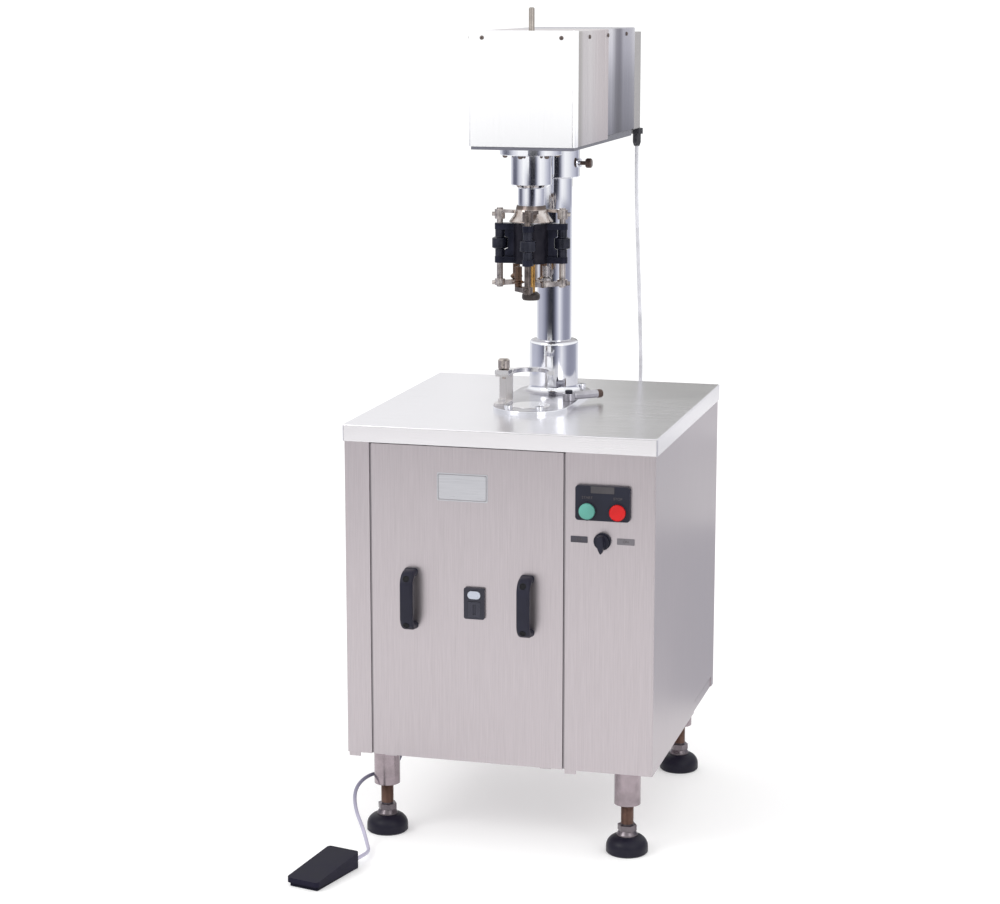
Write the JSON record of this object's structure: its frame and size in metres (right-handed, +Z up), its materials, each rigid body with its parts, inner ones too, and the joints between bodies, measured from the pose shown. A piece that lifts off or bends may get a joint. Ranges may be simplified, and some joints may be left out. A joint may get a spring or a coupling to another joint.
{
  "type": "bottle capping machine",
  "caption": "Semi-automatic roll-on bottle capping machine: steel cabinet with table, chrome column, belt-driven spindle head with roller arms, bottle lift and foot switch.",
  "frame": {"origin": "on the floor under the centre of the plan box of the machine with its foot switch", "axes": "+X to the operator's right, +Y from the front panel to the back, +Z up along the column"},
  "size_m": [0.6226, 1.0672, 1.574],
  "materials": {
    "sheet": "brushed",
    "table_steel": "satin",
    "polished_steel": "polished",
    "steel_tube": "satin",
    "zinc": "zinc plated",
    "frame_steel": "satin",
    "black_rubber": "matt",
    "black_plastic": "fine grain",
    "latch_metal": "polished",
    "station_plastic": "satin",
    "green_plastic": "gloss",
    "red_plastic": "gloss",
    "chrome": "polished",
    "bronze_knob": "satin",
    "end_cover": "satin",
    "motor_paint": "semi-gloss",
    "pulley_alu": "turned",
    "belt_rubber": "matt",
    "cone_steel": "turned",
    "black_steel": "blackened",
    "brass": "turned",
    "arm_steel": "blackened",
    "roller_steel": "hardened",
    "gland_plastic": "satin",
    "cable_pvc": "satin"
  },
  "bodies": {
    "cabinet": {"corner_posts": "steel_tube", "levelling_screws": "zinc", "foot_pads": "black_rubber", "bottom_plate": "sheet", "left_side_panel": "sheet", "right_side_panel": "sheet", "back_panel": "sheet", "control_panel": "sheet", "table_top": "table_steel", "machine_plate": "frame_steel", "button_station": "station_plastic", "column": "chrome", "column_base": "chrome", "lift_guide": "frame_steel", "lift_gearmotor": "motor_paint", "guide_bracket": "frame_steel", "foot_switch_base": "black_plastic", "cable_glands": "gland_plastic", "foot_cable": "cable_pvc", "motor_cable": "cable_pvc"},
    "lift_off_panel": {"front_panel": "sheet", "panel_handles": "black_plastic", "latch_body": "black_plastic"},
    "latch_paddle": {"latch_paddle": "black_plastic"},
    "latch_button": {"latch_button": "latch_metal"},
    "start_button": {"start_button": "green_plastic"},
    "stop_button": {"stop_button": "red_plastic"},
    "selector_knob": {"selector_knob": "black_plastic"},
    "head": {"head_collar": "chrome", "head_plate": "frame_steel", "front_cover": "polished_steel", "middle_casing": "sheet", "rear_cover": "polished_steel", "rear_end_cover": "end_cover", "head_motor": "motor_paint", "spindle_housing": "chrome", "spindle_bearings": "zinc", "drive_belt": "belt_rubber"},
    "collar_knob": {"collar_knob": "bronze_knob"},
    "motor_pulley": {"motor_pulley": "pulley_alu"},
    "spindle": {"spindle": "chrome", "arm_carrier": "black_steel"},
    "cam_cone": {"cam_cone": "cone_steel"},
    "pressure": {"pressure_block": "black_steel", "pressure_shaft": "brass", "pressure_rod": "zinc"},
    "bottle_platform": {"bottle_platform": "polished_steel"},
    "lift_cam": {"lift_cam": "frame_steel"},
    "clamp_lever": {"clamp_lever": "chrome"},
    "bottle_guide": {"bottle_guide": "polished_steel"},
    "guide_knob": {"guide_knob": "bronze_knob"},
    "foot_pedal": {"foot_pedal": "black_plastic"},
    "arm_1": {"roller_arm_1": "arm_steel"},
    "roller_1": {"roller_1": "roller_steel"},
    "arm_2": {"roller_arm_2": "arm_steel"},
    "roller_2": {"roller_2": "roller_steel"},
    "arm_3": {"roller_arm_3": "arm_steel"},
    "roller_3": {"roller_3": "roller_steel"},
    "arm_4": {"roller_arm_4": "arm_steel"},
    "roller_4": {"roller_4": "roller_steel"}
  },
  "joints": [
    {"name": "panel_lift_off", "type": "slide", "parent": "cabinet", "child": "lift_off_panel", "axis": [0, -1, 0], "range_m": [0, 0.4]},
    {"name": "latch_flap", "type": "hinge", "parent": "lift_off_panel", "child": "latch_paddle", "pos_m": [-0.03266, -0.24369, 0.483], "axis": [-1, 0, 0], "range_deg": [0, 35]},
    {"name": "latch_press", "type": "slide", "parent": "lift_off_panel", "child": "latch_button", "axis": [0, 1, 0], "range_m": [0, 0.003], "stiffness_N_per_m": 300},
    {"name": "start_press", "type": "slide", "parent": "cabinet", "child": "start_button", "axis": [0, 1, 0], "range_m": [0, 0.004], "stiffness_N_per_m": 500},
    {"name": "stop_press", "type": "slide", "parent": "cabinet", "child": "stop_button", "axis": [0, 1, 0], "range_m": [0, 0.004], "stiffness_N_per_m": 500},
    {"name": "selector_turn", "type": "hinge", "parent": "cabinet", "child": "selector_knob", "pos_m": [0.21034, -0.25068, 0.615], "axis": [0, -1, 0], "range_deg": [0, 90]},
    {"name": "head_height", "type": "slide", "parent": "cabinet", "child": "head", "axis": [0, 0, 1], "range_m": [-0.06, 0.08]},
    {"name": "collar_knob_turn", "type": "hinge", "parent": "head", "child": "collar_knob", "pos_m": [0.08134, 0.18932, 1.272], "axis": [1, 0, 0], "range_deg": [0, 360]},
    {"name": "spindle_spin", "type": "hinge", "parent": "head", "child": "spindle", "pos_m": [0.01134, 0.00331, 1.25], "axis": [0, 0, 1], "continuous": true},
    {"name": "motor_pulley_spin", "type": "hinge", "parent": "head", "child": "motor_pulley", "pos_m": [0.01134, 0.33131, 1.49], "axis": [0, 0, 1], "continuous": true},
    {"name": "pressure_slide", "type": "slide", "parent": "spindle", "child": "pressure", "axis": [0, 0, 1], "range_m": [0, 0.049], "stiffness_N_per_m": 600, "springref_m": -0.02},
    {"name": "cone_slide", "type": "slide", "parent": "spindle", "child": "cam_cone", "axis": [0, 0, 1], "range_m": [0, 0.016]},
    {"name": "arm_1_swing", "type": "hinge", "parent": "spindle", "child": "arm_1", "pos_m": [0.07076, 0.01167, 1.128], "axis": [0, 0, -1], "range_deg": [0, 24.5]},
    {"name": "arm_2_swing", "type": "hinge", "parent": "spindle", "child": "arm_2", "pos_m": [0.00299, 0.06273, 1.128], "axis": [0, 0, -1], "range_deg": [0, 24.5]},
    {"name": "arm_3_swing", "type": "hinge", "parent": "spindle", "child": "arm_3", "pos_m": [-0.04808, -0.00504, 1.128], "axis": [0, 0, -1], "range_deg": [0, 24.5]},
    {"name": "arm_4_swing", "type": "hinge", "parent": "spindle", "child": "arm_4", "pos_m": [0.01969, -0.0561, 1.128], "axis": [0, 0, -1], "range_deg": [0, 24.5]},
    {"name": "roller_1_spin", "type": "hinge", "parent": "arm_1", "child": "roller_1", "pos_m": [0.04456, -0.01302, 1.068], "axis": [0, 0, 1], "continuous": true},
    {"name": "roller_2_spin", "type": "hinge", "parent": "arm_2", "child": "roller_2", "pos_m": [0.02768, 0.03653, 1.068], "axis": [0, 0, 1], "continuous": true},
    {"name": "roller_3_spin", "type": "hinge", "parent": "arm_3", "child": "roller_3", "pos_m": [-0.02188, 0.01965, 1.068], "axis": [0, 0, 1], "continuous": true},
    {"name": "roller_4_spin", "type": "hinge", "parent": "arm_4", "child": "roller_4", "pos_m": [-0.005, -0.0299, 1.068], "axis": [0, 0, 1], "continuous": true},
    {"name": "bottle_lift", "type": "slide", "parent": "cabinet", "child": "bottle_platform", "axis": [0, 0, 1], "range_m": [0, 0.05]},
    {"name": "cam_turn", "type": "hinge", "parent": "cabinet", "child": "lift_cam", "pos_m": [0.01134, 0.00331, 0.274], "axis": [1, 0, 0], "range_deg": [0, 180]},
    {"name": "clamp_lever_swing", "type": "hinge", "parent": "cabinet", "child": "clamp_lever", "pos_m": [0.06934, 0.07631, 0.826], "axis": [0, 0, 1], "range_deg": [-60, 40]},
    {"name": "guide_slide", "type": "slide", "parent": "cabinet", "child": "bottle_guide", "axis": [0, 1, 0], "range_m": [-0.008, 0.008]},
    {"name": "guide_knob_turn", "type": "hinge", "parent": "cabinet", "child": "guide_knob", "pos_m": [-0.04366, 0.00831, 0.898], "axis": [0, 0, 1], "range_deg": [0, 360]},
    {"name": "pedal_press", "type": "hinge", "parent": "cabinet", "child": "foot_pedal", "pos_m": [-0.24669, -0.39365, 0.02635], "axis": [0.9703, -0.2419, 0], "range_deg": [0, 2.8], "stiffness_Nm_per_rad": 4, "springref_deg": -5.73}
  ],
  "couplings": [
    {"joint": "motor_pulley_spin", "follows": "spindle_spin", "ratio": 1.34},
    {"joint": "cam_turn", "follows": "bottle_lift", "rad_per_m": 62.83},
    {"joint": "arm_1_swing", "follows": "cone_slide", "rad_per_m": 26.72},
    {"joint": "arm_2_swing", "follows": "cone_slide", "rad_per_m": 26.72},
    {"joint": "arm_3_swing", "follows": "cone_slide", "rad_per_m": 26.72},
    {"joint": "arm_4_swing", "follows": "cone_slide", "rad_per_m": 26.72}
  ]
}
